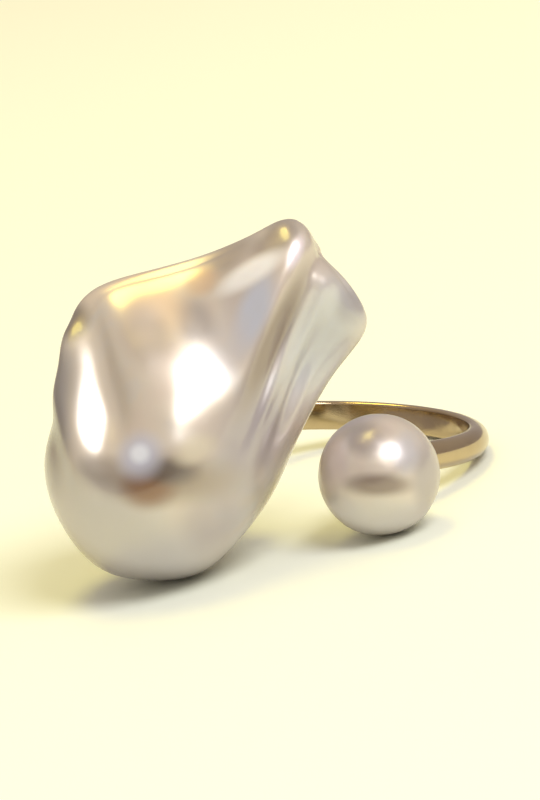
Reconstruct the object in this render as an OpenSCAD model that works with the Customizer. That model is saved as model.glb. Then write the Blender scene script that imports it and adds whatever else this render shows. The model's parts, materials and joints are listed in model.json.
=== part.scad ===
// An open finger ring with a pearl at each end of its band: a large baroque pearl with a folded
// tail on one end, and a small round pearl on the other.
// The pieces are placed in the ring's own frame, with the finger along Z, the middle of the
// band at the origin and the opening towards -Y. The whole ring is then laid on its side, as it
// rests on a table, with the origin on the table under the middle of its box.

/* [Band] */
// Inside diameter of the band, which is the finger hole
finger_d = 18.2; // [17.4:0.1:19]
// Width of the band, along the finger
band_w = 1.9; // [1.7:0.05:2.1]
// Thickness of the band, out from the finger
band_t = 1.3; // [1.2:0.05:1.45]
// Angle across the opening, between the pegs of the two pearls
open_angle = 49; // [46:0.5:52]

/* [Small pearl] */
// Diameter of the round pearl
small_d = 7.7; // [7.3:0.1:8.2]
// Diameter of the cup that it sits in
cup_d = 4.6; // [4:0.1:5]

/* [Large pearl] */
// Size of the large pearl, as a share of the sizes in its tables
large_scale = 1; // [0.96:0.01:1.04]
// Direction that its broad face looks, from the middle of the opening towards the small pearl
face_turn = 12.3; // [9:0.1:15]
// How far its broad face looks up along the finger
face_lift = 9; // [6:0.5:12]
// Lean of its tail from upright towards the small pearl
tail_lean = 30; // [27:0.5:33]
// Diameter of the flat pad that it is glued to
pad_d = 5; // [4:0.1:5.6]
// Thickness of the pad
pad_t = 0.8; // [0.6:0.05:1]

/* [Pegs] */
// Diameter of the pegs that go into the pearls
peg_d = 0.9; // [0.7:0.05:1.1]
// Depth of the peg in the small pearl, as a share of the pearl's diameter
small_peg = 0.6; // [0.5:0.05:0.7]
// Length of the peg in the large pearl
large_peg = 7; // [5:0.5:8]
// Gap for the glue between metal and pearl
glue = 0.06; // [0.04:0.01:0.08]

/* [Hidden] */
$fn = 96;

// Radii of the band's inner face, its outer face and the middle of its round section
finger_r = finger_d / 2;
band_r = finger_r + band_t;
round_r = band_r - band_w / 2;

// A round foot under each pearl closes the end of the band, a little wider than the band
foot_lip = 0.1;
foot_r = band_w / 2 + foot_lip;
foot_inset = 0.05;
cup_floor = 0.2;

small_r = small_d / 2;
small_centre_r = band_r + cup_floor + glue + small_r;
small_centre = small_centre_r * outward(1);
// Height of the cup's rim, where the cup is cut off square to keep its edge thick
cup_rim_drop = 0.15;
cup_rim_r = small_centre_r - sqrt(pow(small_r, 2) - pow(cup_d / 2, 2)) - cup_rim_drop;

// The pearl's hole is a little longer than the peg in it
hole_end = 0.3;

// Columns of SECTIONS: place along the long axis, and the four sides of the oval there
ALONG = 0;
LEFT = 1;
RIGHT = 2;
BACK = 3;
FRONT = 4;
// Sections of the large pearl across its long axis, from the round bottom to the tip of the tail
SECTIONS = [
    [-10.2,  0.6, 0.6,  0.0, 0.0],
    [ -9.3, -2.3, 3.2, -3.2, 3.2],
    [ -7.5, -5.0, 6.1, -5.2, 5.4],
    [ -5.2, -6.4, 6.9, -6.2, 6.9],
    [ -2.6, -6.8, 7.4, -6.4, 7.4],
    [  0.0, -7.6, 7.6, -5.9, 7.0],
    [  2.6, -9.2, 7.2, -5.0, 6.0],
    [  5.2, -9.0, 7.0, -4.1, 4.6],
    [  7.8, -6.3, 7.0, -3.4, 3.9],
    [ 10.2, -3.9, 7.4, -2.7, 4.0],
    [ 12.2, -2.3, 7.6, -2.0, 4.2],
    [ 13.6, -1.4, 4.8, -1.5, 3.9],
    [ 14.7, -0.8, 1.7, -0.9, 3.2],
    [ 15.5,  0.4, 0.4,  1.1, 1.1]
];

// Columns of FOLDS: place along and across, turn from the long axis, half length, half width,
// height, and the side it is on, with 1 for the front, -1 for the back and 0 for all round
ACROSS = 1;
TURN = 2;
LONG = 3;
WIDE = 4;
HEIGHT = 5;
SIDE = 6;
// Ridges and grooves of the large pearl, each a long soft swelling or hollow
FOLDS = [
    // the notch between the two points of the tail
    [14.1,  3.5,  50, 1.3, 0.8, -0.60, 0],
    // the flattened right flank of the tail, and the deep groove beside it
    [ 9.0,  5.0,  -4, 5.5, 2.0, -1.20, 1],
    [ 9.4,  3.0,  -8, 4.6, 0.7, -0.60, 1],
    // the crest of the tail, and the fainter ridge on its left
    [ 9.4,  1.7,  -8, 4.4, 0.8,  0.30, 1],
    [11.0, -0.9,  28, 2.8, 1.0,  0.28, 1],
    // a ridge and a fine groove on the flank
    [ 8.0,  4.6,  -6, 5.0, 0.6,  0.35, 1],
    [ 6.0,  5.8,  -2, 3.8, 0.5, -0.25, 1],
    // the broad swell where the tail joins the body, and the flatter face beside it
    [ 7.5,  2.2, -12, 5.5, 2.2,  0.90, 1],
    [ 6.5, -4.5,  30, 5.5, 3.0, -0.70, 1],
    // a shallow dip and a low rise in the middle of the body
    [ 0.8,  3.6, -30, 2.4, 1.2, -0.20, 1],
    [-0.8,  0.6,  60, 1.4, 1.2,  0.12, 1],
    // a flatter strip left of the middle
    [ 1.2, -1.9, -30, 3.6, 1.4, -0.20, 1],
    // the two parts of the shoulder along the left edge, and the two parts of the hollow beside it
    [-1.6, -6.5, -40, 4.8, 1.0,  1.30, 1],
    [ 2.2, -9.2, -43, 3.2, 0.7,  0.90, 1],
    [-0.8, -4.2, -44, 3.6, 2.2, -1.00, 1],
    [ 2.3, -7.5, -44, 3.0, 1.4, -0.35, 1]
];
// A fold fades out towards the outline, over this share of the way to the middle of its side
fold_fade = 0.35;

// Rings of points between two rows of SECTIONS, and points round each ring
rings_per_row = 4;
sides = 72;

// The peg points at this place in the large pearl, this deep under the flat floor of its seat
aim_along = -2.63;
aim_across = 1.12;
aim_depth = 5.9;
seat_r = band_r + pad_t + glue;
// The seat is a shallow round recess, a little wider than the pad
seat_rim = 0.3;
seat_cut_h = 3;

// Outward direction of a peg: side 1 is the small pearl's, -1 the large pearl's
function outward(side) = [sin(side * open_angle / 2), -cos(side * open_angle / 2), 0];

function unit(v) = v / norm(v);

// Directions of the large pearl: the way its face looks, then along and across its long axis
face_dir = [sin(face_turn) * cos(face_lift), -cos(face_turn) * cos(face_lift), sin(face_lift)];
level_dir = [cos(face_turn), sin(face_turn), 0];
rise_dir = cross(face_dir, level_dir);
along_dir = sin(tail_lean) * level_dir + cos(tail_lean) * rise_dir;
across_dir = cos(tail_lean) * level_dir - sin(tail_lean) * rise_dir;
aim_point = (seat_r + large_scale * aim_depth) * outward(-1);

// Past its ends the table goes on as its mirror image through the end, which closes it roundly
function mirrored(row) = [row[ALONG], row[RIGHT], row[LEFT], row[FRONT], row[BACK]];
last_row = len(SECTIONS) - 1;
function row_at(i) =
    i < 0 ? mirrored(SECTIONS[-i]) : i > last_row ? mirrored(SECTIONS[2 * last_row - i]) : SECTIONS[i];

// A smooth curve through the rows of the table, a cubic B-spline
function section_at(w) =
    let (i = min(floor(w), last_row - 1), t = w - i)
    (pow(1 - t, 3) * row_at(i - 1)
        + (3 * pow(t, 3) - 6 * pow(t, 2) + 4) * row_at(i)
        + (-3 * pow(t, 3) + 3 * pow(t, 2) + 3 * t + 1) * row_at(i + 1)
        + pow(t, 3) * row_at(i + 2)) / 6;

// Goes smoothly from 0 to 1 as x does, and is level before and after
function ease(x) = let (t = min(max(x, 0), 1)) t * t * (3 - 2 * t);

// Height of all folds together at a place, where facing is 1 at the front and -1 at the back
function fold_height(along, across, facing) = vsum([
    for (f = FOLDS)
        let (
            da = along - f[ALONG],
            dc = across - f[ACROSS],
            lengthwise = (da * cos(f[TURN]) + dc * sin(f[TURN])) / f[LONG],
            widthwise = (dc * cos(f[TURN]) - da * sin(f[TURN])) / f[WIDE],
            share = f[SIDE] == 0 ? 1 : ease(f[SIDE] * facing / fold_fade)
        )
        f[HEIGHT] * share * exp(-pow(lengthwise, 2) - pow(widthwise, 2))
]);

function vsum(list) = list * [for (i = list) 1];

// A point of the large pearl's surface, w rows along the table and at an angle round it
function large_point(w, angle) =
    let (
        sec = section_at(w),
        half_w = (sec[RIGHT] - sec[LEFT]) / 2,
        half_t = (sec[FRONT] - sec[BACK]) / 2,
        across = (sec[RIGHT] + sec[LEFT]) / 2 + half_w * cos(angle),
        deep = (sec[FRONT] + sec[BACK]) / 2 + half_t * sin(angle),
        normal = unit([half_t * cos(angle), half_w * sin(angle)]),
        fold = fold_height(sec[ALONG], across, sin(angle))
    )
    in_ring(sec[ALONG], across + fold * normal.x, deep + fold * normal.y);

// From the large pearl's own measures to the ring's frame
function in_ring(along, across, deep) = aim_point + large_scale * (
    (along - aim_along) * along_dir + (across - aim_across) * across_dir + deep * face_dir);

// The large pearl's points: one at its bottom, the rings, and one at the tip of its tail
rings = last_row * rings_per_row - 1;
end_section = [for (w = [0, last_row]) section_at(w)];
function end_point(sec) =
    in_ring(sec[ALONG], (sec[LEFT] + sec[RIGHT]) / 2, (sec[BACK] + sec[FRONT]) / 2);
large_points = concat(
    [end_point(end_section[0])],
    [for (j = [1:rings], i = [0:sides - 1]) large_point(j / rings_per_row, i * 360 / sides)],
    [end_point(end_section[1])]
);
tip_index = len(large_points) - 1;
function ring_index(j, i) = 1 + j * sides + i % sides;
large_faces = concat(
    [for (i = [0:sides - 1]) [0, ring_index(0, i + 1), ring_index(0, i)]],
    [for (j = [0:rings - 2], i = [0:sides - 1])
        each [
            [ring_index(j, i), ring_index(j + 1, i + 1), ring_index(j + 1, i)],
            [ring_index(j, i), ring_index(j, i + 1), ring_index(j + 1, i + 1)]
        ]],
    [for (i = [0:sides - 1]) [tip_index, ring_index(rings - 1, i), ring_index(rings - 1, i + 1)]]
);

// The lowest point of each piece for a table whose upward direction is up
function lowest_large(up) =
    let (heights = [for (p = large_points) p * up]) large_points[search(min(heights), heights)[0]];
function lowest_small(up) = small_centre - small_r * up;
function lowest_band(up) = -round_r * unit([up.x, up.y, 0]) - band_w / 2 * up;

// The table touches both pearls and the back of the band, found by trying it a few times from a
// rough guess
rough_up = [0.1, -0.2, 1];
settle_tries = 12;
function table_up(a, b, c) = let (n = unit(cross(b - a, c - a))) n.z < 0 ? -n : n;
function settle(up, tries) =
    tries == 0 ? up : settle(table_up(lowest_large(up), lowest_small(up), lowest_band(up)), tries - 1);
rest_z = settle(unit(rough_up), settle_tries);
rest_x = unit(cross([0, 1, 0], rest_z));
rest_y = cross(rest_z, rest_x);

// How far the ring reaches along a direction of the table's frame
function reach(dir) = max(concat(
    [for (p = large_points) p * dir],
    [small_centre * dir + small_r, round_r * norm([dir.x, dir.y]) + band_w / 2]
));
rest_shift = [
    (reach(-rest_x) - reach(rest_x)) / 2,
    (reach(-rest_y) - reach(rest_y)) / 2,
    reach(-rest_z)
];

// Lays the ring's own frame on the table
module at_rest() {
    multmatrix([
        [rest_x.x, rest_x.y, rest_x.z, rest_shift.x],
        [rest_y.x, rest_y.y, rest_y.z, rest_shift.y],
        [rest_z.x, rest_z.y, rest_z.z, rest_shift.z]
    ])
        children();
}

// Puts Z along a peg's outward direction, with the band's middle at the origin
module on_peg(side) {
    rotate([0, 0, side * open_angle / 2 - 90])
        rotate([0, 90, 0])
            children();
}

// A plain cylinder or cone between two distances from the band's middle
module turned(from, to, r1, r2) {
    translate([0, 0, from])
        cylinder(r1 = r1, r2 = r2, h = to - from);
}

module band() {
    rotate([0, 0, open_angle / 2 - 90])
        rotate_extrude(angle = 360 - open_angle)
            intersection() {
                translate([round_r, 0])
                    circle(d = band_w);
                translate([finger_r, -band_w])
                    square([band_t * 2, band_w * 2]);
            }
}

module small_cup() {
    on_peg(1)
        difference() {
            union() {
                turned(finger_r + foot_inset, band_r, foot_r, foot_r);
                turned(band_r - cup_floor, cup_rim_r, foot_r, cup_d / 2);
            }
            translate([0, 0, small_centre_r])
                sphere(r = small_r + glue);
        }
}

module large_pad() {
    on_peg(-1) {
        turned(finger_r + foot_inset, band_r, foot_r, foot_r);
        turned(band_r - cup_floor, band_r + pad_t / 2, foot_r, pad_d / 2);
        turned(band_r + pad_t / 2, band_r + pad_t, pad_d / 2, pad_d / 2);
    }
}

module pegs() {
    on_peg(1)
        turned(band_r, small_centre_r + (small_peg - 0.5) * small_d, peg_d / 2, peg_d / 2);
    on_peg(-1)
        turned(band_r, seat_r + large_peg, peg_d / 2, peg_d / 2);
}

module shank() {
    color([0.80, 0.66, 0.40])
        at_rest() {
            band();
            small_cup();
            large_pad();
            pegs();
        }
}

module large_pearl() {
    color([0.87, 0.81, 0.76])
        at_rest()
            difference() {
                polyhedron(points = large_points, faces = large_faces);
                on_peg(-1) {
                    turned(seat_r - seat_cut_h, seat_r, pad_d / 2 + seat_rim, pad_d / 2 + seat_rim);
                    turned(seat_r - 1, seat_r + large_peg + hole_end, peg_d / 2 + glue, peg_d / 2 + glue);
                }
            }
}

module small_pearl() {
    color([0.88, 0.83, 0.80])
        at_rest()
            difference() {
                translate(small_centre)
                    sphere(d = small_d);
                on_peg(1)
                    turned(
                        small_centre_r - small_d,
                        small_centre_r + (small_peg - 0.5) * small_d + hole_end,
                        peg_d / 2 + glue,
                        peg_d / 2 + glue
                    );
            }
}

shank();
large_pearl();
small_pearl();
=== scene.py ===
import json
import math

import bmesh
import bpy
import numpy as np
from mathutils import Matrix, Vector, noise


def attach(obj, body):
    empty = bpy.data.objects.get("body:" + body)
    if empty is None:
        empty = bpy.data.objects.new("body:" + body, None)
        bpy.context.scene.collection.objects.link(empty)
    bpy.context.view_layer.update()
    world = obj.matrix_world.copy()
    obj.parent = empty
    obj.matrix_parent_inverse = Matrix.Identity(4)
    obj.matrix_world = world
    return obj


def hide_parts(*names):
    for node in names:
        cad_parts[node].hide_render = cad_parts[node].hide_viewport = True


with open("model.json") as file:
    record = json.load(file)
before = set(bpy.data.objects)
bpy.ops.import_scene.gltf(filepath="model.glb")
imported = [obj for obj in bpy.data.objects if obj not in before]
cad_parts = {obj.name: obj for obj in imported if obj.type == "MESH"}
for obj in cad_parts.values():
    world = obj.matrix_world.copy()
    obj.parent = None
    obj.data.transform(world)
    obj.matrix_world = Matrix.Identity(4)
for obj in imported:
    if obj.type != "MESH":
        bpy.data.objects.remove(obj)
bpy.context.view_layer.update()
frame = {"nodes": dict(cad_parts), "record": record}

MM = 0.001

# The ring's own frame, in millimetres: finger along Z, middle of the band at the origin and the
# opening towards -Y. The finger hole's mount says where it lies.
HOLE = next(m for m in frame["record"]["mounts"] if m["name"] == "finger_hole")
RING_Z = Vector(HOLE["axis"]).normalized()
RING_Y = Vector((0, RING_Z.z, -RING_Z.y)).normalized()
RING_X = RING_Y.cross(RING_Z)
RING_AXES = np.array([RING_X, RING_Y, RING_Z])
RING_MIDDLE = np.array(HOLE["pos_m"])

# Driving sizes, in millimetres, with the opening of the band in degrees and small_peg as a share of
# the small pearl's diameter
finger_r = HOLE["dims"]["r_mm"]
band_w = 1.9
band_t = 1.3
open_angle = 49
small_d = 7.7
cup_d = 4.6
pad_d = 5
pad_t = 0.8
peg_d = 0.9
small_peg = 0.6
large_peg = 7
glue = 0.06
cup_floor = 0.2
cup_rim_drop = 0.15
foot_lip = 0.1
foot_inset = 0.05
seat_rim = 0.3
seat_cut_h = 3
hole_end = 0.3

band_r = finger_r + band_t
round_r = band_r - band_w / 2
foot_r = band_w / 2 + foot_lip
small_r = small_d / 2
small_centre_r = band_r + cup_floor + glue + small_r
cup_rim_r = small_centre_r - math.sqrt(small_r**2 - (cup_d / 2) ** 2) - cup_rim_drop
seat_r = band_r + pad_t + glue
small_peg_end = small_centre_r + (small_peg - 0.5) * small_d
large_peg_end = seat_r + large_peg

# The way the large pearl's broad face looks, which is also where the camera stands
face_turn = math.radians(12.3)
face_lift = math.radians(9)
tail_lean = math.radians(30)
FACE_DIR = np.array([
    math.sin(face_turn) * math.cos(face_lift),
    -math.cos(face_turn) * math.cos(face_lift),
    math.sin(face_lift),
])
LEVEL_DIR = np.array([math.cos(face_turn), math.sin(face_turn), 0])
RISE_DIR = np.cross(FACE_DIR, LEVEL_DIR)
# Along and across the large pearl's long axis
ALONG_DIR = math.sin(tail_lean) * LEVEL_DIR + math.cos(tail_lean) * RISE_DIR
ACROSS_DIR = math.cos(tail_lean) * LEVEL_DIR - math.sin(tail_lean) * RISE_DIR

# Sections of the large pearl across its long axis, from its bottom to the tip of its tail.
# Columns: place along the long axis, then the left, right, back and front of the oval there
SECTIONS = np.array([
    [-10.2,  0.6, 0.6,  0.0, 0.0],
    [ -9.3, -2.3, 3.2, -3.2, 3.2],
    [ -7.5, -5.0, 6.1, -5.2, 5.4],
    [ -5.2, -6.4, 6.9, -6.2, 6.9],
    [ -2.6, -6.8, 7.4, -6.4, 7.4],
    [  0.0, -7.6, 7.6, -5.9, 7.0],
    [  2.6, -9.2, 7.2, -5.0, 6.0],
    [  5.2, -9.0, 7.0, -4.1, 4.6],
    [  7.8, -6.3, 7.0, -3.4, 3.9],
    [ 10.2, -3.9, 7.4, -2.7, 4.0],
    [ 12.2, -2.3, 7.6, -2.0, 4.2],
    [ 13.6, -1.4, 4.8, -1.5, 3.9],
    [ 14.7, -0.8, 1.7, -0.9, 3.2],
    [ 15.5,  0.4, 0.4,  1.1, 1.1],
])
# Ridges and grooves of the large pearl. Columns: place along and across, turn from the long axis,
# half length, half width, height, and side, with 1 for the front, -1 for the back and 0 for all round
FOLDS = [
    # the notch between the two points of the tail
    [14.1,  3.5,  50, 1.3, 0.8, -0.60, 0],
    # the flattened right flank of the tail, and the deep groove beside it
    [ 9.0,  5.0,  -4, 5.5, 2.0, -1.20, 1],
    [ 9.4,  3.0,  -8, 4.6, 0.7, -0.60, 1],
    # the crest of the tail, and the fainter ridge on its left
    [ 9.4,  1.7,  -8, 4.4, 0.8,  0.30, 1],
    [11.0, -0.9,  28, 2.8, 1.0,  0.28, 1],
    # a ridge and a fine groove on the flank
    [ 8.0,  4.6,  -6, 5.0, 0.6,  0.35, 1],
    [ 6.0,  5.8,  -2, 3.8, 0.5, -0.25, 1],
    # the broad swell where the tail joins the body, and the flatter face beside it
    [ 7.5,  2.2, -12, 5.5, 2.2,  0.90, 1],
    [ 6.5, -4.5,  30, 5.5, 3.0, -0.70, 1],
    # a shallow dip and a low rise in the middle of the body
    [ 0.8,  3.6, -30, 2.4, 1.2, -0.20, 1],
    [-0.8,  0.6,  60, 1.4, 1.2,  0.12, 1],
    # a flatter strip left of the middle
    [ 1.2, -1.9, -30, 3.6, 1.4, -0.20, 1],
    # the two parts of the shoulder along the left edge, and the two parts of the hollow beside it
    [-1.6, -6.5, -40, 4.8, 1.0,  1.30, 1],
    [ 2.2, -9.2, -43, 3.2, 0.7,  0.90, 1],
    [-0.8, -4.2, -44, 3.6, 2.2, -1.00, 1],
    [ 2.3, -7.5, -44, 3.0, 1.4, -0.35, 1],
]
# A fold of one side fades out towards the outline, over this share of the way to its middle
fold_fade = 0.35
# Fine streaks along the flank of the tail, then low hollows and a bump on the body, in the same
# columns
STREAKS = [
    [ 5.1,  6.5,  -3, 2.4, 0.35,  0.14, 1],
    [ 4.9,  4.9,   0, 2.2, 0.35, -0.12, 1],
    [ 5.8,  4.1, -11, 4.0, 0.40,  0.18, 1],
    [ 9.2,  4.1, -10, 3.0, 0.40, -0.15, 1],
    [10.8,  5.1, -12, 3.0, 0.50,  0.12, 1],
    [ 7.6,  3.4,  -8, 4.0, 0.30, -0.12, 1],
    [ 3.2,  5.6,  -6, 2.8, 0.40,  0.10, 1],
    [ 2.0, -6.8, -40, 2.5, 0.80, -0.17, 1],
    [-0.9, -4.0, -40, 1.8, 0.90, -0.17, 1],
    [ 0.7, -0.1,  60, 1.4, 0.90,  0.08, 1],
]
# Low swellings all over the large pearl: their size and height
swell_size = 3.2
swell_height = 0.05
# Those of the small pearl. Columns: height, how many there are to its radius, and place in the noise
SMALL_SWELLINGS = [
    [0.03, 2.1, (3.1, 0.4, 7.7)],
    [0.014, 4.7, (1.7, 5.2, 0.3)],
]
# Share of the small pearl's radius that is taken off, so that its swellings stay close to the CAD ball
small_inset = 0.004
# The peg points at this place in the large pearl, this deep under the flat floor of its seat
aim_along = -2.63
aim_across = 1.12
aim_depth = 5.9

# Mesh density, and the angles in degrees from which an edge stays sharp
LARGE_RINGS = 280
LARGE_SIDES = 320
SMALL_SPLITS = 7
TURNED_SIDES = 96
BAND_STEPS = 288
SECTION_STEPS = 40
EDGE_STEPS = 6
FLARE_STEPS = 6
CUP_STEPS = 11
PEARL_SHARP = 40
METAL_SHARP = 35


def in_row(points):
    """Points of the ring's frame, in millimetres, as points of the row's frame, in metres."""
    return RING_MIDDLE + MM * np.asarray(points, float) @ RING_AXES


def row_direction(direction):
    """A direction of the ring's frame as one of the row's frame."""
    return Vector(np.asarray(direction, float) @ RING_AXES).normalized()


def outward(side):
    """Direction of a peg: side 1 is the small pearl's and -1 the large pearl's."""
    a = math.radians(side * open_angle / 2)
    return np.array([math.sin(a), -math.cos(a), 0])


def new_piece(name, points, faces):
    """A smooth mesh piece from points of the ring's frame."""
    mesh = bpy.data.meshes.new(name)
    mesh.from_pydata(in_row(points).tolist(), [], faces)
    mesh.validate()
    mesh.shade_smooth()
    piece = bpy.data.objects.new(name, mesh)
    bpy.context.scene.collection.objects.link(piece)
    return piece


def combine(piece, other, operation):
    """Cuts another piece away from a piece or joins it on, and removes the other."""
    modifier = piece.modifiers.new(operation, "BOOLEAN")
    modifier.operation = operation
    modifier.solver = "EXACT"
    modifier.object = other
    evaluated = piece.evaluated_get(bpy.context.evaluated_depsgraph_get())
    mesh = bpy.data.meshes.new_from_object(evaluated)
    piece.modifiers.clear()
    piece.data = mesh
    bpy.data.objects.remove(other)


def strip_faces(rows, around):
    """Quads between rows of points that each go round a closed loop."""
    return [
        [j * around + i, j * around + (i + 1) % around,
         (j + 1) * around + (i + 1) % around, (j + 1) * around + i]
        for j in range(rows - 1) for i in range(around)
    ]


def capped_faces(rows, around):
    """Faces over a first point, rows of points that go round, and a last point."""
    faces = [[1 + k for k in f] for f in strip_faces(rows, around)]
    last, first_of_last = 1 + rows * around, 1 + (rows - 1) * around
    for i in range(around):
        k = (i + 1) % around
        faces.append([0, 1 + k, 1 + i])
        faces.append([last, first_of_last + i, first_of_last + k])
    return faces


def keep_sharp(piece, degrees):
    piece.data.set_sharp_from_angle(angle=math.radians(degrees))


def turned(name, profile, side):
    """A solid turned about a peg's axis. The profile has a radius and a distance from the ring's
    middle in each row, and starts and ends on the axis."""
    axis = outward(side)
    across = np.cross([0, 0, 1], axis)
    angles = np.linspace(0, 2 * math.pi, TURNED_SIDES, endpoint=False)
    round_it = np.cos(angles)[:, None] * across + np.sin(angles)[:, None] * np.array([0, 0, 1])
    inner = profile[1:-1]
    loops = [h * axis + r * round_it for r, h in inner]
    points = np.vstack([profile[0][1] * axis, *loops, profile[-1][1] * axis])
    return new_piece(name, points, capped_faces(len(inner), TURNED_SIDES))


def arc(middle, radius, start, end, steps=EDGE_STEPS):
    """Points of an arc in a profile, from one angle to another, in degrees."""
    angles = np.radians(np.linspace(start, end, steps + 1))
    return [[middle[0] + radius * math.cos(a), middle[1] + radius * math.sin(a)] for a in angles]


# Large pearl
def section_at(w):
    """The sections' cubic B-spline, closed roundly by each end's mirror image."""
    mirror = [0, 2, 1, 4, 3]
    rows = np.vstack([SECTIONS[1][mirror], SECTIONS, SECTIONS[-2][mirror]])
    i = np.clip(np.floor(w).astype(int), 0, len(SECTIONS) - 2)
    t = (w - i)[:, None]
    return (
        (1 - t) ** 3 * rows[i]
        + (3 * t**3 - 6 * t**2 + 4) * rows[i + 1]
        + (-3 * t**3 + 3 * t**2 + 3 * t + 1) * rows[i + 2]
        + t**3 * rows[i + 3]
    ) / 6


def ease(x):
    """Goes smoothly from 0 to 1 as x does, and is level before and after."""
    t = np.clip(x, 0, 1)
    return t * t * (3 - 2 * t)


def fold_height(along, across, facing):
    """Height of all folds and streaks together, where facing is 1 in front and -1 behind."""
    height = np.zeros_like(across)
    for f_along, f_across, turn, long, wide, high, side in FOLDS + STREAKS:
        c, s = math.cos(math.radians(turn)), math.sin(math.radians(turn))
        lengthwise = ((along - f_along) * c + (across - f_across) * s) / long
        widthwise = ((across - f_across) * c - (along - f_along) * s) / wide
        share = ease(side * facing / fold_fade) if side else 1
        height += high * share * np.exp(-lengthwise**2 - widthwise**2)
    return height


def large_from_own(along, across, deep):
    """From the large pearl's own measures to the ring's frame."""
    aim = (seat_r + aim_depth) * outward(-1)
    return (
        aim
        + (along - aim_along)[..., None] * ALONG_DIR
        + (across - aim_across)[..., None] * ACROSS_DIR
        + deep[..., None] * FACE_DIR
    )


def make_large_pearl():
    """The folded pearl, with the flat seat for its pad and the hole for its peg."""
    w = np.linspace(0, len(SECTIONS) - 1, LARGE_RINGS + 1)
    angle = np.linspace(0, 2 * math.pi, LARGE_SIDES, endpoint=False)
    along, left, right, back, front = (c[:, None] for c in section_at(w).T)
    half_w, half_t = (right - left) / 2, (front - back) / 2
    across = (right + left) / 2 + half_w * np.cos(angle)
    deep = (front + back) / 2 + half_t * np.sin(angle)
    normal = np.stack([half_t * np.cos(angle), half_w * np.sin(angle)])
    normal /= np.maximum(np.linalg.norm(normal, axis=0), 1e-9)
    fold = fold_height(along, across, np.sin(angle) + 0 * across)
    across = across + fold * normal[0]
    deep = deep + fold * normal[1]
    swell = np.array([
        swell_height * noise.noise(Vector(p) / swell_size)
        for p in np.stack([along + 0 * across, across, deep], -1).reshape(-1, 3)
    ]).reshape(across.shape)
    across = across + swell * normal[0]
    deep = deep + swell * normal[1]
    points = large_from_own(along + 0 * across, across, deep)
    ends = points[[0, -1]].mean(axis=1)
    inner = points[1:-1].reshape(-1, 3)
    faces = capped_faces(LARGE_RINGS - 1, LARGE_SIDES)
    pearl = new_piece("baroque_pearl", np.vstack([ends[0], inner, ends[1]]), faces)
    seat_cut_r = pad_d / 2 + seat_rim
    start = seat_r - seat_cut_h
    hole_r = peg_d / 2 + glue
    hole_to = large_peg_end + hole_end
    profile = [
        [0, start], [seat_cut_r, start], [seat_cut_r, seat_r], [hole_r, seat_r],
        [hole_r, hole_to], [0, hole_to],
    ]
    combine(pearl, turned("seat_cutter", profile, -1), "DIFFERENCE")
    keep_sharp(pearl, PEARL_SHARP)
    return pearl


# Small pearl
def make_small_pearl():
    """A near-round pearl: a ball with faint swellings, drilled for its peg."""
    ball = bmesh.new()
    bmesh.ops.create_icosphere(ball, subdivisions=SMALL_SPLITS, radius=1)
    directions = np.array([v.co.normalized() for v in ball.verts])
    faces = [[v.index for v in f.verts] for f in ball.faces]
    ball.free()
    swelling = np.array([
        sum(high * noise.noise(Vector(d) * many + Vector(place))
            for high, many, place in SMALL_SWELLINGS)
        for d in directions
    ])
    radius = small_r * (1 - small_inset) + swelling
    points = small_centre_r * outward(1) + directions * radius[:, None]
    pearl = new_piece("round_pearl", points, faces)
    hole_r = peg_d / 2 + glue
    hole_to = small_peg_end + hole_end
    start = small_centre_r - small_d
    profile = [[0, start], [hole_r, start], [hole_r, hole_to], [0, hole_to]]
    combine(pearl, turned("hole_cutter", profile, 1), "DIFFERENCE")
    keep_sharp(pearl, PEARL_SHARP)
    return pearl


# Shank
def make_band():
    """The band: a round section cut flat on the finger's side, with softened edges."""
    edge = 0.18
    r = band_w / 2
    flat = finger_r - round_r
    corner_x = flat + edge
    corner_z = math.sqrt((r - edge) ** 2 - corner_x**2)
    turn = math.degrees(math.atan2(corner_z, corner_x))
    section = (
        arc((0, 0), r, -turn, turn, SECTION_STEPS)[1:-1]
        + arc((corner_x, corner_z), edge, turn, 180)
        + arc((corner_x, -corner_z), edge, 180, 360 - turn)
    )
    around = len(section)
    half = math.radians(open_angle / 2)
    angles = np.linspace(half, 2 * math.pi - half, BAND_STEPS + 1) - math.pi / 2
    points = np.array([
        [(round_r + x) * math.cos(a), (round_r + x) * math.sin(a), z]
        for a in angles for x, z in section
    ])
    faces = [f[::-1] for f in strip_faces(len(angles), around)]
    faces.append(list(range(around)))
    faces.append([BAND_STEPS * around + i for i in reversed(range(around))])
    return new_piece("ring_shank", points, faces)


def foot_profile():
    """The round foot at an end of the band, from the axis outwards, with a softened edge."""
    edge = 0.2
    low = finger_r + foot_inset
    return [[0, low]] + arc((foot_r - edge, low + edge), edge, -90, 0)


def make_small_head():
    """Foot, cup and peg of the small pearl."""
    edge = 0.07
    seat = small_r + glue
    rim_angle = math.degrees(math.asin((cup_d / 2 - edge) / seat))
    peg_angle = math.degrees(math.asin(peg_d / 2 / seat))
    cup_h = cup_rim_r - band_r + cup_floor
    flare = [
        [foot_r + (cup_d / 2 - foot_r) * t, band_r - cup_floor + cup_h * t]
        for t in np.linspace(0, 1, FLARE_STEPS + 1)
    ]
    inside = [
        [seat * math.sin(math.radians(a)), small_centre_r - seat * math.cos(math.radians(a))]
        for a in np.linspace(rim_angle, peg_angle, CUP_STEPS + 1)
    ]
    peg = [[peg_d / 2, small_peg_end], [0, small_peg_end]]
    return turned("small_head", foot_profile() + flare + inside + peg, 1)


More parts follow.
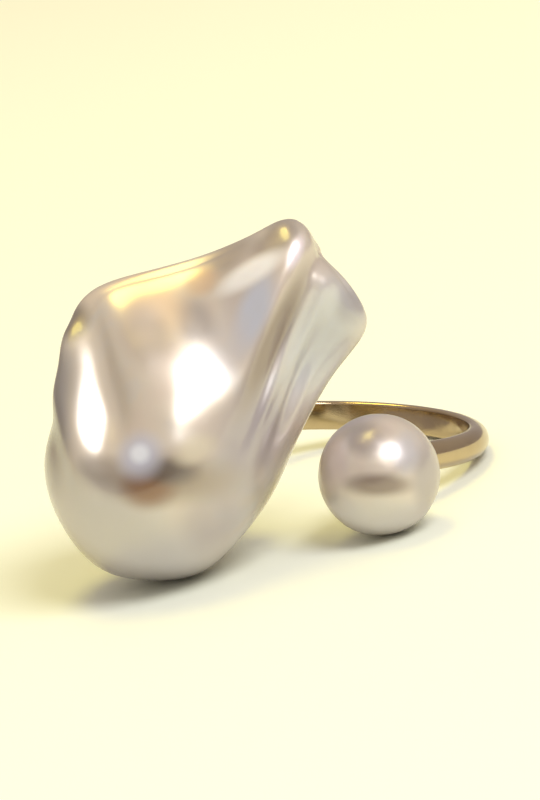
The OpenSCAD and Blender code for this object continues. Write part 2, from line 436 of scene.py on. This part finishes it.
def make_large_head():
    """Foot, pad and peg of the large pearl."""
    edge = 0.12
    top = band_r + pad_t
    middle = band_r + pad_t / 2
    flare = [[foot_r, band_r - cup_floor], [pad_d / 2 - edge, middle - edge / 2]]
    rim = [[pad_d / 2, middle + edge / 2]] + arc((pad_d / 2 - edge, top - edge), edge, 0, 90)
    peg = [[peg_d / 2, top], [peg_d / 2, large_peg_end], [0, large_peg_end]]
    return turned("large_head", foot_profile() + flare + rim + peg, -1)


def make_shank():
    """Band and heads soldered into one solid."""
    shank = make_band()
    combine(shank, make_small_head(), "UNION")
    combine(shank, make_large_head(), "UNION")
    keep_sharp(shank, METAL_SHARP)
    return shank


# Materials
# The noise mostly stays between these two values, so a change over this span is seen
NOISE_SPAN = (0.3, 0.7)
# A soft patch has its full strength where its fall from 1 to 0 is still above this
PATCH_FULL = 0.7


class Shader:
    """Short calls for building the nodes of a material or of the world."""

    def __init__(self, owner, place="Object"):
        owner.use_nodes = True
        self.nodes = owner.node_tree.nodes
        self.links = owner.node_tree.links
        self.material = owner
        self.surface = self.nodes.get("Principled BSDF")
        self.place = self.nodes.new("ShaderNodeTexCoord").outputs[place]

    def set(self, **values):
        """Constants on the surface's sockets, each with its spaces written as low lines."""
        for name, value in values.items():
            self.surface.inputs[name.replace("_", " ")].default_value = value

    def noise(self, scale, detail, distortion=0):
        """Noise with features of 1 / scale metres."""
        node = self.nodes.new("ShaderNodeTexNoise")
        node.inputs["Scale"].default_value = scale
        node.inputs["Detail"].default_value = detail
        node.inputs["Distortion"].default_value = distortion
        self.links.new(self.place, node.inputs["Vector"])
        return node.outputs["Fac"]

    def ramp(self, value, *stops):
        """A colour for a value, from stops that each have a position and a colour."""
        node = self.nodes.new("ShaderNodeValToRGB")
        while len(node.color_ramp.elements) < len(stops):
            node.color_ramp.elements.new(0.5)
        for element, (position, colour) in zip(node.color_ramp.elements, stops):
            element.position = position
            element.color = (*colour, 1)
        self.links.new(value, node.inputs["Fac"])
        return node.outputs["Color"]

    def mix(self, share, a, b):
        """Goes from colour a to colour b as share goes from 0 to 1."""
        node = self.nodes.new("ShaderNodeMix")
        node.data_type = "RGBA"
        sockets = {s.identifier: s for s in [*node.inputs, *node.outputs]}
        for value, name in ((share, "Factor_Float"), (a, "A_Color"), (b, "B_Color")):
            if isinstance(value, bpy.types.NodeSocket):
                self.links.new(value, sockets[name])
            else:
                sockets[name].default_value = (*value, 1)
        return sockets["Result_Color"]

    def mapped(self, low, high, value, from_low=NOISE_SPAN[0], from_high=NOISE_SPAN[1]):
        """Goes smoothly from low to high as the value crosses a span."""
        node = self.nodes.new("ShaderNodeMapRange")
        node.interpolation_type = "SMOOTHSTEP"
        for name, number in (("From Min", from_low), ("From Max", from_high),
                             ("To Min", low), ("To Max", high)):
            node.inputs[name].default_value = number
        self.links.new(value, node.inputs["Value"])
        return node.outputs["Result"]

    def patch(self, strength, middle, radii, axes):
        """The strength in the middle of an ellipsoid with these axes, falling to 0 at its radii."""
        mapping = self.nodes.new("ShaderNodeMapping")
        mapping.vector_type = "TEXTURE"
        mapping.inputs["Location"].default_value = middle
        mapping.inputs["Scale"].default_value = radii
        mapping.inputs["Rotation"].default_value = axes.to_euler()
        gradient = self.nodes.new("ShaderNodeTexGradient")
        gradient.gradient_type = "SPHERICAL"
        self.links.new(self.place, mapping.inputs["Vector"])
        self.links.new(mapping.outputs["Vector"], gradient.inputs["Vector"])
        return self.mapped(0, strength, gradient.outputs["Fac"], 0, PATCH_FULL)

    def bump(self, height, distance, strength, under):
        """A normal roughened by a height, over another normal."""
        node = self.nodes.new("ShaderNodeBump")
        node.inputs["Distance"].default_value = distance
        node.inputs["Strength"].default_value = strength
        self.links.new(height, node.inputs["Height"])
        self.links.new(under, node.inputs["Normal"])
        return node.outputs["Normal"]

    def feed(self, name, value):
        """Links a value to one of the surface's sockets."""
        self.links.new(value, self.surface.inputs[name])


# Overtones, painted highlights, painted reflections and painted shade on the face of the large pearl.
# Columns: place along and across its long axis, half length and half width of the patch in
# millimetres, turn in degrees, colour, and strength
TONES_AND_PAINTED_LIGHT = [
    # painted shade: a dark left rim and shoulder, with the lamp's glint on the shoulder's top
    # darkened, and a dimmer creamy underside and darker pink right side where the bright floor is
    # reflected
    [-2.4, -7.6, 6.0, 2.8, -25, (0.30, 0.28, 0.29), 0.95],
    [-6.3, -5.6, 4.5, 1.6, -38, (0.37, 0.33, 0.32), 0.9],
    [-4.5, -2.6, 2.0, 1.5, 60, (0.24, 0.19, 0.15), 0.5],
    [2.7, -8.8, 1.8, 1.5, 0, (0.20, 0.17, 0.15), 0.9],
    [-7.6, 0.8, 5.0, 9.5, 0, (0.53, 0.50, 0.51), 0.9],
    [2.0, 4.6, 5.5, 3.0, -5, (0.39, 0.35, 0.38), 0.85],
    [-3.4, 4.9, 3.2, 2.6, 0, (0.42, 0.37, 0.39), 0.7],
    # cool grey flank: partly the nacre's own tone, partly painted shade that dims the floor's
    # reflection
    [9.5, 5.2, 6.5, 3.4, -4, (0.56, 0.57, 0.62), 0.9],
    [12.4, 6.0, 1.8, 1.6, 0, (0.42, 0.40, 0.41), 0.8],
    # greys and lavenders left of the tail's crest, partly painted shade, with painted shade over the
    # lamp's glint at the tip, the pale ridge there as a painted highlight, and a painted pink
    # highlight at its tip
    [11.2, -2.3, 2.8, 1.4, 28, (0.36, 0.31, 0.28), 0.85],
    [10.0, -0.6, 3.8, 1.6, -10, (0.56, 0.50, 0.50), 0.6],
    [8.8, 0.8, 3.8, 1.4, -9, (0.57, 0.61, 0.76), 0.85],
    [6.0, 0.4, 3.4, 2.0, -20, (0.58, 0.54, 0.56), 0.6],
    [13.2, -0.3, 2.2, 1.2, 28, (0.30, 0.26, 0.26), 0.85],
    [14.2, -0.2, 1.6, 1.4, 0, (0.30, 0.26, 0.25), 0.85],
    [6.5, -2.1, 1.8, 2.4, 30, (0.36, 0.32, 0.32), 0.75],
    [10.9, -0.6, 3.2, 1.0, 28, (1.0, 0.98, 0.97), 1.0],
    [13.4, 1.2, 1.6, 0.6, -10, (0.90, 0.82, 0.90), 0.9],
    # painted shade in the deep groove
    [8.2, 2.7, 7.0, 1.1, -5, (0.30, 0.24, 0.21), 0.95],
    # painted reflection of the dark room: a brown band under the middle, darkest and most orange at
    # its centre
    [-2.8, 1.3, 6.0, 2.2, 60, (0.32, 0.26, 0.21), 0.9],
    [-3.9, 0.6, 2.4, 1.8, 60, (0.27, 0.15, 0.09), 0.9],
    [-2.3, 1.3, 2.4, 1.2, 60, (0.16, 0.13, 0.12), 0.85],
    # painted highlight: a lavender place above the band, with a pale blue spot at its heart
    [-2.4, -0.8, 2.1, 1.9, 0, (0.57, 0.59, 0.74), 0.85],
    [-2.3, -0.9, 0.9, 0.9, 0, (0.84, 0.88, 1.00), 0.9],
    # painted reflection of the warm lamp in oranges below the top edge, and painted shade in a grey
    # beside it
    [6.0, -5.0, 3.0, 3.4, 30, (0.72, 0.54, 0.39), 0.7],
    [4.2, -4.2, 2.2, 3.2, 30, (0.42, 0.36, 0.33), 0.8],
    [8.9, -3.0, 1.6, 1.2, 28, (0.62, 0.44, 0.30), 0.7],
    # painted reflection: a pale yellow place under the middle
    [-0.4, 1.9, 2.0, 1.2, 30, (0.76, 0.69, 0.54), 0.7],
]
# The same for the small pearl, with each place measured up and to the right from its middle: a
# cooler lower part, a brown band just below the middle as a painted reflection of the dark room, grey
# at the right, painted shade over the lamp's glint near the top, pink at the upper left and a painted
# lavender highlight at the upper right
SMALL_TONES_AND_PAINTED_LIGHT = [
    [-2.8, 0.0, 2.0, 4.2, 0, (0.62, 0.58, 0.55), 0.9],
    [-0.6, -0.1, 1.0, 3.0, 0, (0.26, 0.20, 0.17), 0.9],
    [-0.2, 3.0, 3.0, 1.4, 0, (0.42, 0.38, 0.38), 0.8],
    [2.3, -0.9, 1.6, 2.2, 10, (0.30, 0.26, 0.27), 0.8],
    [0.8, -2.8, 2.4, 1.2, 0, (0.66, 0.57, 0.57), 0.7],
    [1.4, 1.6, 1.8, 1.2, 0, (0.56, 0.55, 0.62), 0.7],
]
# Places on the large pearl where it is less glossy, with the roughness there as the last column
SOFT_PLACES = [
    [9.5, 4.6, 8.0, 4.4, -6, 0.42],
    [14.2, -0.3, 2.4, 2.0, 0, 0.42],
    [2.7, -8.8, 2.4, 2.0, 0, 0.42],
    [-4.4, -5.2, 5.0, 2.2, -45, 0.42],
]
# How far in front of the large pearl's long axis its patches lie, and how deep each one reaches
tone_and_light_depth = 4
tone_and_light_reach = 14


def large_axes():
    """The large pearl's own axes in the row's frame: along, across and deep."""
    return tuple(row_direction(d) for d in (ALONG_DIR, ACROSS_DIR, FACE_DIR))


def small_axes():
    """The small pearl's axes in the row's frame, as the camera sees it: up, right and to the eye."""
    return tuple(row_direction(d) for d in (RISE_DIR, LEVEL_DIR, FACE_DIR))


def on_large(along, across):
    """A place on the face of the large pearl, in the row's frame."""
    place = (np.array([[float(k)]]) for k in (along, across, tone_and_light_depth))
    return in_row(large_from_own(*place).reshape(3))


def on_small(along, across):
    """A place on the face of the small pearl, measured up and to the right from its middle."""
    return in_row(
        small_centre_r * outward(1) + along * RISE_DIR + across * LEVEL_DIR + small_r * FACE_DIR)


# How much the nacre's roughness changes from place to place, either way
nacre_rough_change = 0.015
# The gold's rounded edges, and the depth and strength of its wear scratches
gold_edge = 0.08
wear_depth = 0.003
wear_strength = 0.5


def nacre(name, pink, cream, haze, rough, skin_rough, tones_and_painted_light, soft_places, place_of, axes):
    """Glossy nacre: a soft body under a clear lustrous skin, with overtones, painted highlights,
    painted reflections and painted shade, and softer places.
    """
    s = Shader(bpy.data.materials.new(name))
    s.set(
        Metallic=0.4, IOR=1.55, Subsurface_Weight=0.15, Subsurface_Scale=0.001,
        Coat_Weight=1.0, Coat_Roughness=skin_rough, Coat_IOR=1.55, Thin_Film_Thickness=420,
        Thin_Film_IOR=1.6, Specular_Tint=(0.55, 0.48, 0.44, 1),
    )
    s.surface.inputs["Subsurface Radius"].default_value = (1.0, 0.75, 0.6)
    tone = s.noise(scale=220, detail=3, distortion=0.6)
    colour = s.ramp(tone, (0.3, pink), (0.52, cream), (0.72, haze))
    along_dir, across_dir, face_dir = axes

    def share_at(along, across, length, width, turn, strength):
        turned_axes = Matrix.Rotation(math.radians(-turn), 3, face_dir) @ Matrix(
            (along_dir, -across_dir, face_dir)).transposed()
        radii = (length * MM, width * MM, tone_and_light_reach * MM)
        return s.patch(strength, place_of(along, across), radii, turned_axes)

    # overtones, painted highlights, painted reflections and painted shade, mixed into the base colour
    for *place, tint, strength in tones_and_painted_light:
        colour = s.mix(share_at(*place, strength), colour, tint)
    s.feed("Base Color", colour)
    roughness = s.mapped(
        rough - nacre_rough_change, rough + nacre_rough_change, s.noise(scale=900, detail=4))
    for *place, softness in soft_places:
        roughness = s.mix(share_at(*place, 1), roughness, (softness,) * 3)
    s.feed("Roughness", roughness)
    return s.material


def gold():
    """Polished yellow gold with fine wear."""
    s = Shader(bpy.data.materials.new("yellow_gold"))
    s.set(Metallic=1.0)
    tint = s.noise(scale=300, detail=3)
    s.feed("Base Color", s.ramp(tint, (0.35, (0.47, 0.36, 0.225)), (0.65, (0.53, 0.42, 0.27))))
    s.feed("Roughness", s.mapped(low=0.10, high=0.20, value=s.noise(scale=700, detail=5)))
    round_edges = s.nodes.new("ShaderNodeBevel")
    round_edges.inputs["Radius"].default_value = gold_edge * MM
    scratches = s.noise(scale=9000, detail=4)
    s.feed("Normal", s.bump(
        scratches, wear_depth * MM, wear_strength, round_edges.outputs["Normal"]))
    return s.material


def finish_piece(piece, node, material):
    """Gives a piece its look, and puts it in the place of a CAD node."""
    piece.data.materials.clear()
    piece.data.materials.append(material)
    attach(piece, "root")
    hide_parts(node)


# Stage
# The pale floor, in metres. Its colour changes from the near one to the far one between two
# distances from the ring: a painted pool of light round the ring, fading to a dimmer, warmer painted
# falloff further away
floor_half = 1.5
floor_near, floor_far = 0.13, 0.5
LIT_POOL_COLOUR = (0.92, 0.97, 0.86)
DIM_FALLOFF_COLOUR = (0.80, 0.72, 0.65)


def make_floor():
    mesh = bpy.data.meshes.new("table_top")
    corners = [(x * floor_half, y * floor_half, 0) for x, y in ((-1, -1), (1, -1), (1, 1), (-1, 1))]
    mesh.from_pydata(corners, [], [(0, 1, 2, 3)])
    floor = bpy.data.objects.new("table_top", mesh)
    bpy.context.scene.collection.objects.link(floor)
    s = Shader(bpy.data.materials.new("table_top"))
    s.set(Roughness=0.6)
    away = s.nodes.new("ShaderNodeVectorMath")
    away.operation = "LENGTH"
    s.links.new(s.place, away.inputs[0])
    # painted pool of light round the ring, darkening further away
    painted_falloff = s.mapped(0, 1, away.outputs["Value"], floor_near, floor_far)
    s.feed("Base Color", s.mix(painted_falloff, LIT_POOL_COLOUR, DIM_FALLOFF_COLOUR))
    mesh.materials.append(s.material)


def camera_direction(right, up, back):
    """A direction given as seen by the camera, in the row's frame."""
    return row_direction(right * LEVEL_DIR + up * RISE_DIR + back * FACE_DIR)


# Soft lights. Columns: name, direction as the camera sees it, distance, width and height in
# metres, colour, and power in watts
LIGHTS = [
    ["window", (0.27, 0.71, 0.65), 0.6, 0.34, 0.34, (1.0, 0.98, 0.96), 2.4],
    ["warm_lamp", (-0.28, 0.95, -0.02), 0.5, 0.18, 0.34, (1.0, 0.86, 0.20), 0.95],
]
# A light higher than this, as a share of straight up, has its own upward side towards the camera
steep = 0.9


def make_lights(target):
    """Oval lights that shine on a point."""
    for name, direction, distance, width, height, colour, power in LIGHTS:
        light = bpy.data.lights.new(name, "AREA")
        light.shape = "ELLIPSE"
        light.size, light.size_y = width, height
        light.color = colour
        light.energy = power
        lamp = bpy.data.objects.new(name, light)
        bpy.context.scene.collection.objects.link(lamp)
        towards = camera_direction(*direction)
        lamp.location = target + towards * distance
        up = camera_direction(0, 1, 0) if abs(direction[1]) < steep else camera_direction(0, 0, 1)
        side = up.cross(towards).normalized()
        lamp.matrix_world = Matrix.Translation(lamp.location) @ Matrix(
            (side, towards.cross(side), towards)).transposed().to_4x4()


# Colours of the room by height, from 0 straight down to 1 straight up
ROOM = [
    (0.0, (0.62, 0.58, 0.50)),
    (0.48, (0.46, 0.41, 0.38)),
    (0.62, (0.44, 0.385, 0.36)),
    (0.9, (0.52, 0.46, 0.42)),
]
# Soft patches in the room. Columns: direction as the camera sees it, radii to the right, up and
# back, colour, and strength
PATCHES = [
    [(0.10, -0.26, 0.96), (0.62, 0.26, 0.5), (0.05, 0.03, 0.015), 1.0],
    [(-0.30, 0.90, -0.10), (0.50, 0.40, 0.60), (1.0, 0.66, 0.42), 0.5],
    [(-0.85, 0.15, -0.25), (0.45, 0.55, 0.75), (0.28, 0.24, 0.22), 0.6],
    [(-0.48, -0.02, 0.88), (0.45, 0.32, 0.50), (0.10, 0.07, 0.05), 0.5],
]


def make_world():
    """A pale room, dim and brown low down behind the camera, and warm above."""
    world = bpy.data.worlds.new("room")
    bpy.context.scene.world = world
    s = Shader(world, "Generated")
    split = s.nodes.new("ShaderNodeSeparateXYZ")
    s.links.new(s.place, split.inputs["Vector"])
    height = s.mapped(0, 1, split.outputs["Z"], from_low=-1, from_high=1)
    colour = s.ramp(height, *ROOM)
    axes = Matrix([camera_direction(*k) for k in np.eye(3)]).transposed()
    for direction, radii, tint, strength in PATCHES:
        colour = s.mix(s.patch(strength, camera_direction(*direction), radii, axes), colour, tint)
    s.links.new(colour, s.nodes["Background"].inputs["Color"])


# Camera: its distance, the ring's share of the picture's width, the picture's size in pixels and the
# sensor's in millimetres, and how near and far it sees in metres
camera_distance = 450
ring_share = 0.82
FRAME_WIDTH_PX = 540
FRAME_HEIGHT_PX = 800
SENSOR_SIZE = 36
NEAR_CLIP, FAR_CLIP = 0.01, 10


def make_camera():
    """Stands where the photo was taken from, with the ring across most of the picture's width."""
    corners = np.vstack([
        [v.co for v in frame["nodes"][n].data.vertices] for n in frame["nodes"]
    ])
    level, rise = (np.array(row_direction(d)) for d in (LEVEL_DIR, RISE_DIR))
    back = np.array(row_direction(FACE_DIR))
    middle = sum(
        ((corners @ d).max() + (corners @ d).min()) / 2 * d for d in (level, rise, back)
    )
    width = (corners @ level).max() - (corners @ level).min()
    camera = bpy.data.cameras.new("photo_camera")
    camera.sensor_width = SENSOR_SIZE
    frame_width = camera.sensor_width * FRAME_WIDTH_PX / FRAME_HEIGHT_PX
    distance = camera_distance * MM
    camera.lens = frame_width * ring_share * distance / width
    camera.clip_start, camera.clip_end = NEAR_CLIP, FAR_CLIP
    eye = bpy.data.objects.new("photo_camera", camera)
    bpy.context.scene.collection.objects.link(eye)
    axes = Matrix((level, rise, back)).transposed().to_4x4()
    eye.matrix_world = Matrix.Translation(Vector(middle + back * distance)) @ axes
    bpy.context.scene.camera = eye
    return Vector(middle)


# The ring, its looks and its stage
target = make_camera()
finish_piece(make_shank(), "shank", gold())
large_nacre = nacre(
    "large_nacre", pink=(0.65, 0.56, 0.50), cream=(0.66, 0.59, 0.52), haze=(0.62, 0.59, 0.575),
    rough=0.31, skin_rough=0.15, tones_and_painted_light=TONES_AND_PAINTED_LIGHT, soft_places=SOFT_PLACES, place_of=on_large,
    axes=large_axes())
small_nacre = nacre(
    "small_nacre", pink=(0.65, 0.55, 0.51), cream=(0.66, 0.59, 0.53), haze=(0.62, 0.58, 0.58),
    rough=0.37, skin_rough=0.24, tones_and_painted_light=SMALL_TONES_AND_PAINTED_LIGHT, soft_places=[], place_of=on_small,
    axes=small_axes())
finish_piece(make_large_pearl(), "large_pearl", large_nacre)
finish_piece(make_small_pearl(), "small_pearl", small_nacre)
make_floor()
make_lights(target)
make_world()
bpy.context.scene.view_settings.view_transform = "Standard"
